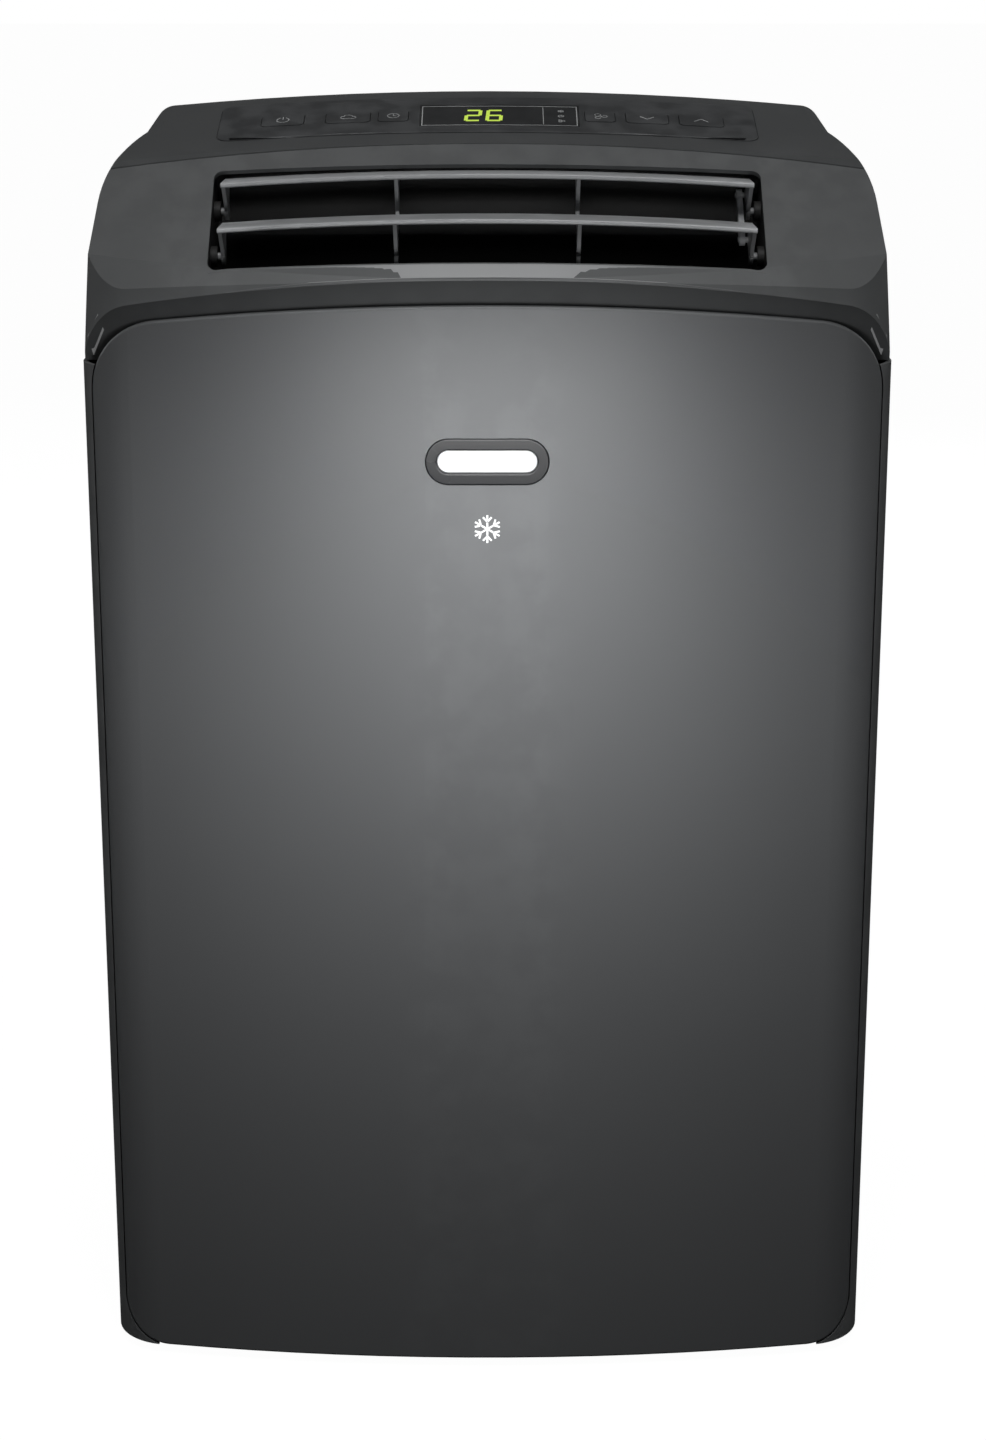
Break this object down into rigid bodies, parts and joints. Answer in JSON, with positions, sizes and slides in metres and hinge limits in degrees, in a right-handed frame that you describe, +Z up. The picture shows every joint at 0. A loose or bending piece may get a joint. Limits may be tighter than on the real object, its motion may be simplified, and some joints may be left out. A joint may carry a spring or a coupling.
{
  "type": "portable air conditioner",
  "caption": "Upright wheeled portable air conditioner with a bowed front panel, tilting louver vanes, sloped control deck, rear filter doors and round exhaust collar.",
  "frame": {"origin": "on the floor under the middle of the cabinet", "axes": "+Z up, front panel facing -Y, +X to the right seen from the front"},
  "size_m": [0.4372, 0.3536, 0.7137],
  "materials": {
    "panel_graphite": "satin metallic graphite",
    "housing_dark": "fine grain moulded",
    "overlay_dark": "satin strip",
    "window_black": "polished",
    "lens_white": "satin",
    "bezel_black": "satin",
    "duct_black": "matt",
    "vane_grey": "fine grain moulded",
    "filter_mesh": "mesh",
    "rubber": "matt",
    "wheel_black": "matt",
    "screw_steel": "blackened",
    "motor_steel": "painted",
    "tray_plastic": "moulded",
    "fin_aluminium": "bare",
    "pipe_copper": "bare copper",
    "board_green": "lacquered"
  },
  "bodies": {
    "cabinet": {"base_pan": "tray_plastic", "caster_sockets": "wheel_black", "compressor": "motor_steel", "compressor_mounts": "rubber", "condenser_coil": "fin_aluminium", "condenser_scroll": "duct_black", "control_board": "board_green", "control_deck": "housing_dark", "control_overlay": "overlay_dark", "cord_hooks": "housing_dark", "cord_inlet": "housing_dark", "display_module": "window_black", "display_window": "window_black", "divider_tray": "tray_plastic", "drain_spouts": "duct_black", "electrical_box": "motor_steel", "evaporator_coil": "fin_aluminium", "evaporator_scroll": "duct_black", "exhaust_collar": "housing_dark", "exhaust_duct": "duct_black", "fan_motors": "motor_steel", "front_frame": "tray_plastic", "front_panel": "panel_graphite", "left_grip": "housing_dark", "left_side_panel": "housing_dark", "outlet_duct": "duct_black", "rear_cover": "housing_dark", "rear_screws": "screw_steel", "receiver_bezel": "bezel_black", "receiver_lens": "lens_white", "refrigerant_lines": "pipe_copper", "right_grip": "housing_dark", "right_side_panel": "housing_dark", "top_housing": "housing_dark", "vane_motor": "motor_steel"},
    "upper_vane": {"upper_vane": "vane_grey"},
    "lower_vane": {"lower_vane": "vane_grey"},
    "vane_link": {"vane_link": "vane_grey"},
    "upper_door": {"upper_grille": "housing_dark", "upper_filter": "filter_mesh"},
    "lower_door": {"lower_grille": "housing_dark", "lower_filter": "filter_mesh"},
    "upper_drain_cap": {"upper_drain_cap": "rubber"},
    "lower_drain_cap": {"lower_drain_cap": "rubber"},
    "evaporator_wheel": {"evaporator_wheel": "duct_black"},
    "condenser_wheel": {"condenser_wheel": "duct_black"},
    "power_button": {"power_button": "overlay_dark"},
    "mode_button": {"mode_button": "overlay_dark"},
    "timer_button": {"timer_button": "overlay_dark"},
    "fan_button": {"fan_button": "overlay_dark"},
    "cooler_button": {"cooler_button": "overlay_dark"},
    "warmer_button": {"warmer_button": "overlay_dark"},
    "left_front_fork": {"left_front_fork": "wheel_black"},
    "left_front_wheels": {"left_front_wheels": "wheel_black"},
    "left_rear_fork": {"left_rear_fork": "wheel_black"},
    "left_rear_wheels": {"left_rear_wheels": "wheel_black"},
    "right_front_fork": {"right_front_fork": "wheel_black"},
    "right_front_wheels": {"right_front_wheels": "wheel_black"},
    "right_rear_fork": {"right_rear_fork": "wheel_black"},
    "right_rear_wheels": {"right_rear_wheels": "wheel_black"}
  },
  "joints": [
    {"name": "upper_vane_swing", "type": "hinge", "parent": "cabinet", "child": "upper_vane", "pos_m": [0, -0.10724, 0.65438], "axis": [1, 0, 0], "range_deg": [-10, 40]},
    {"name": "lower_vane_swing", "type": "hinge", "parent": "cabinet", "child": "lower_vane", "pos_m": [0, -0.13267, 0.63304], "axis": [1, 0, 0], "range_deg": [-10, 40]},
    {"name": "link_pivot", "type": "hinge", "parent": "upper_vane", "child": "vane_link", "pos_m": [0.1361, -0.09924, 0.66238], "axis": [1, 0, 0], "range_deg": [-40, 10]},
    {"name": "power_button_press", "type": "slide", "parent": "cabinet", "child": "power_button", "axis": [0, 0.2924, -0.9563], "range_m": [0, 0.0008], "stiffness_N_per_m": 500, "springref_m": -0.0008},
    {"name": "mode_button_press", "type": "slide", "parent": "cabinet", "child": "mode_button", "axis": [0, 0.2924, -0.9563], "range_m": [0, 0.0008], "stiffness_N_per_m": 500, "springref_m": -0.0008},
    {"name": "timer_button_press", "type": "slide", "parent": "cabinet", "child": "timer_button", "axis": [0, 0.2924, -0.9563], "range_m": [0, 0.0008], "stiffness_N_per_m": 500, "springref_m": -0.0008},
    {"name": "fan_button_press", "type": "slide", "parent": "cabinet", "child": "fan_button", "axis": [0, 0.2924, -0.9563], "range_m": [0, 0.0008], "stiffness_N_per_m": 500, "springref_m": -0.0008},
    {"name": "cooler_button_press", "type": "slide", "parent": "cabinet", "child": "cooler_button", "axis": [0, 0.2924, -0.9563], "range_m": [0, 0.0008], "stiffness_N_per_m": 500, "springref_m": -0.0008},
    {"name": "warmer_button_press", "type": "slide", "parent": "cabinet", "child": "warmer_button", "axis": [0, 0.2924, -0.9563], "range_m": [0, 0.0008], "stiffness_N_per_m": 500, "springref_m": -0.0008},
    {"name": "upper_door_hinge", "type": "hinge", "parent": "cabinet", "child": "upper_door", "pos_m": [0, 0.1606, 0.405], "axis": [-1, 0, 0], "range_deg": [0, 75]},
    {"name": "lower_door_hinge", "type": "hinge", "parent": "cabinet", "child": "lower_door", "pos_m": [-0.085, 0.1606, 0.115], "axis": [-1, 0, 0], "range_deg": [0, 75]},
    {"name": "upper_drain_pull", "type": "slide", "parent": "cabinet", "child": "upper_drain_cap", "axis": [0, 1, 0], "range_m": [0, 0.03]},
    {"name": "lower_drain_pull", "type": "slide", "parent": "cabinet", "child": "lower_drain_cap", "axis": [0, 1, 0], "range_m": [0, 0.03]},
    {"name": "evaporator_spin", "type": "hinge", "parent": "cabinet", "child": "evaporator_wheel", "pos_m": [0, -0.1, 0.457], "axis": [0, 1, 0], "continuous": true},
    {"name": "condenser_spin", "type": "hinge", "parent": "cabinet", "child": "condenser_wheel", "pos_m": [-0.085, 0.07, 0.235], "axis": [0, 1, 0], "continuous": true},
    {"name": "left_front_swivel", "type": "hinge", "parent": "cabinet", "child": "left_front_fork", "pos_m": [-0.168, -0.115, 0.046], "axis": [0, 0, 1], "continuous": true},
    {"name": "left_front_roll", "type": "hinge", "parent": "left_front_fork", "child": "left_front_wheels", "pos_m": [-0.168, -0.103, 0.019], "axis": [1, 0, 0], "continuous": true},
    {"name": "left_rear_swivel", "type": "hinge", "parent": "cabinet", "child": "left_rear_fork", "pos_m": [-0.168, 0.095, 0.046], "axis": [0, 0, 1], "continuous": true},
    {"name": "left_rear_roll", "type": "hinge", "parent": "left_rear_fork", "child": "left_rear_wheels", "pos_m": [-0.168, 0.107, 0.019], "axis": [1, 0, 0], "continuous": true},
    {"name": "right_front_swivel", "type": "hinge", "parent": "cabinet", "child": "right_front_fork", "pos_m": [0.168, -0.115, 0.046], "axis": [0, 0, 1], "continuous": true},
    {"name": "right_front_roll", "type": "hinge", "parent": "right_front_fork", "child": "right_front_wheels", "pos_m": [0.168, -0.103, 0.019], "axis": [1, 0, 0], "continuous": true},
    {"name": "right_rear_swivel", "type": "hinge", "parent": "cabinet", "child": "right_rear_fork", "pos_m": [0.168, 0.095, 0.046], "axis": [0, 0, 1], "continuous": true},
    {"name": "right_rear_roll", "type": "hinge", "parent": "right_rear_fork", "child": "right_rear_wheels", "pos_m": [0.168, 0.107, 0.019], "axis": [1, 0, 0], "continuous": true}
  ],
  "couplings": [
    {"joint": "lower_vane_swing", "follows": "upper_vane_swing", "ratio": 1},
    {"joint": "link_pivot", "follows": "upper_vane_swing", "ratio": -1}
  ]
}
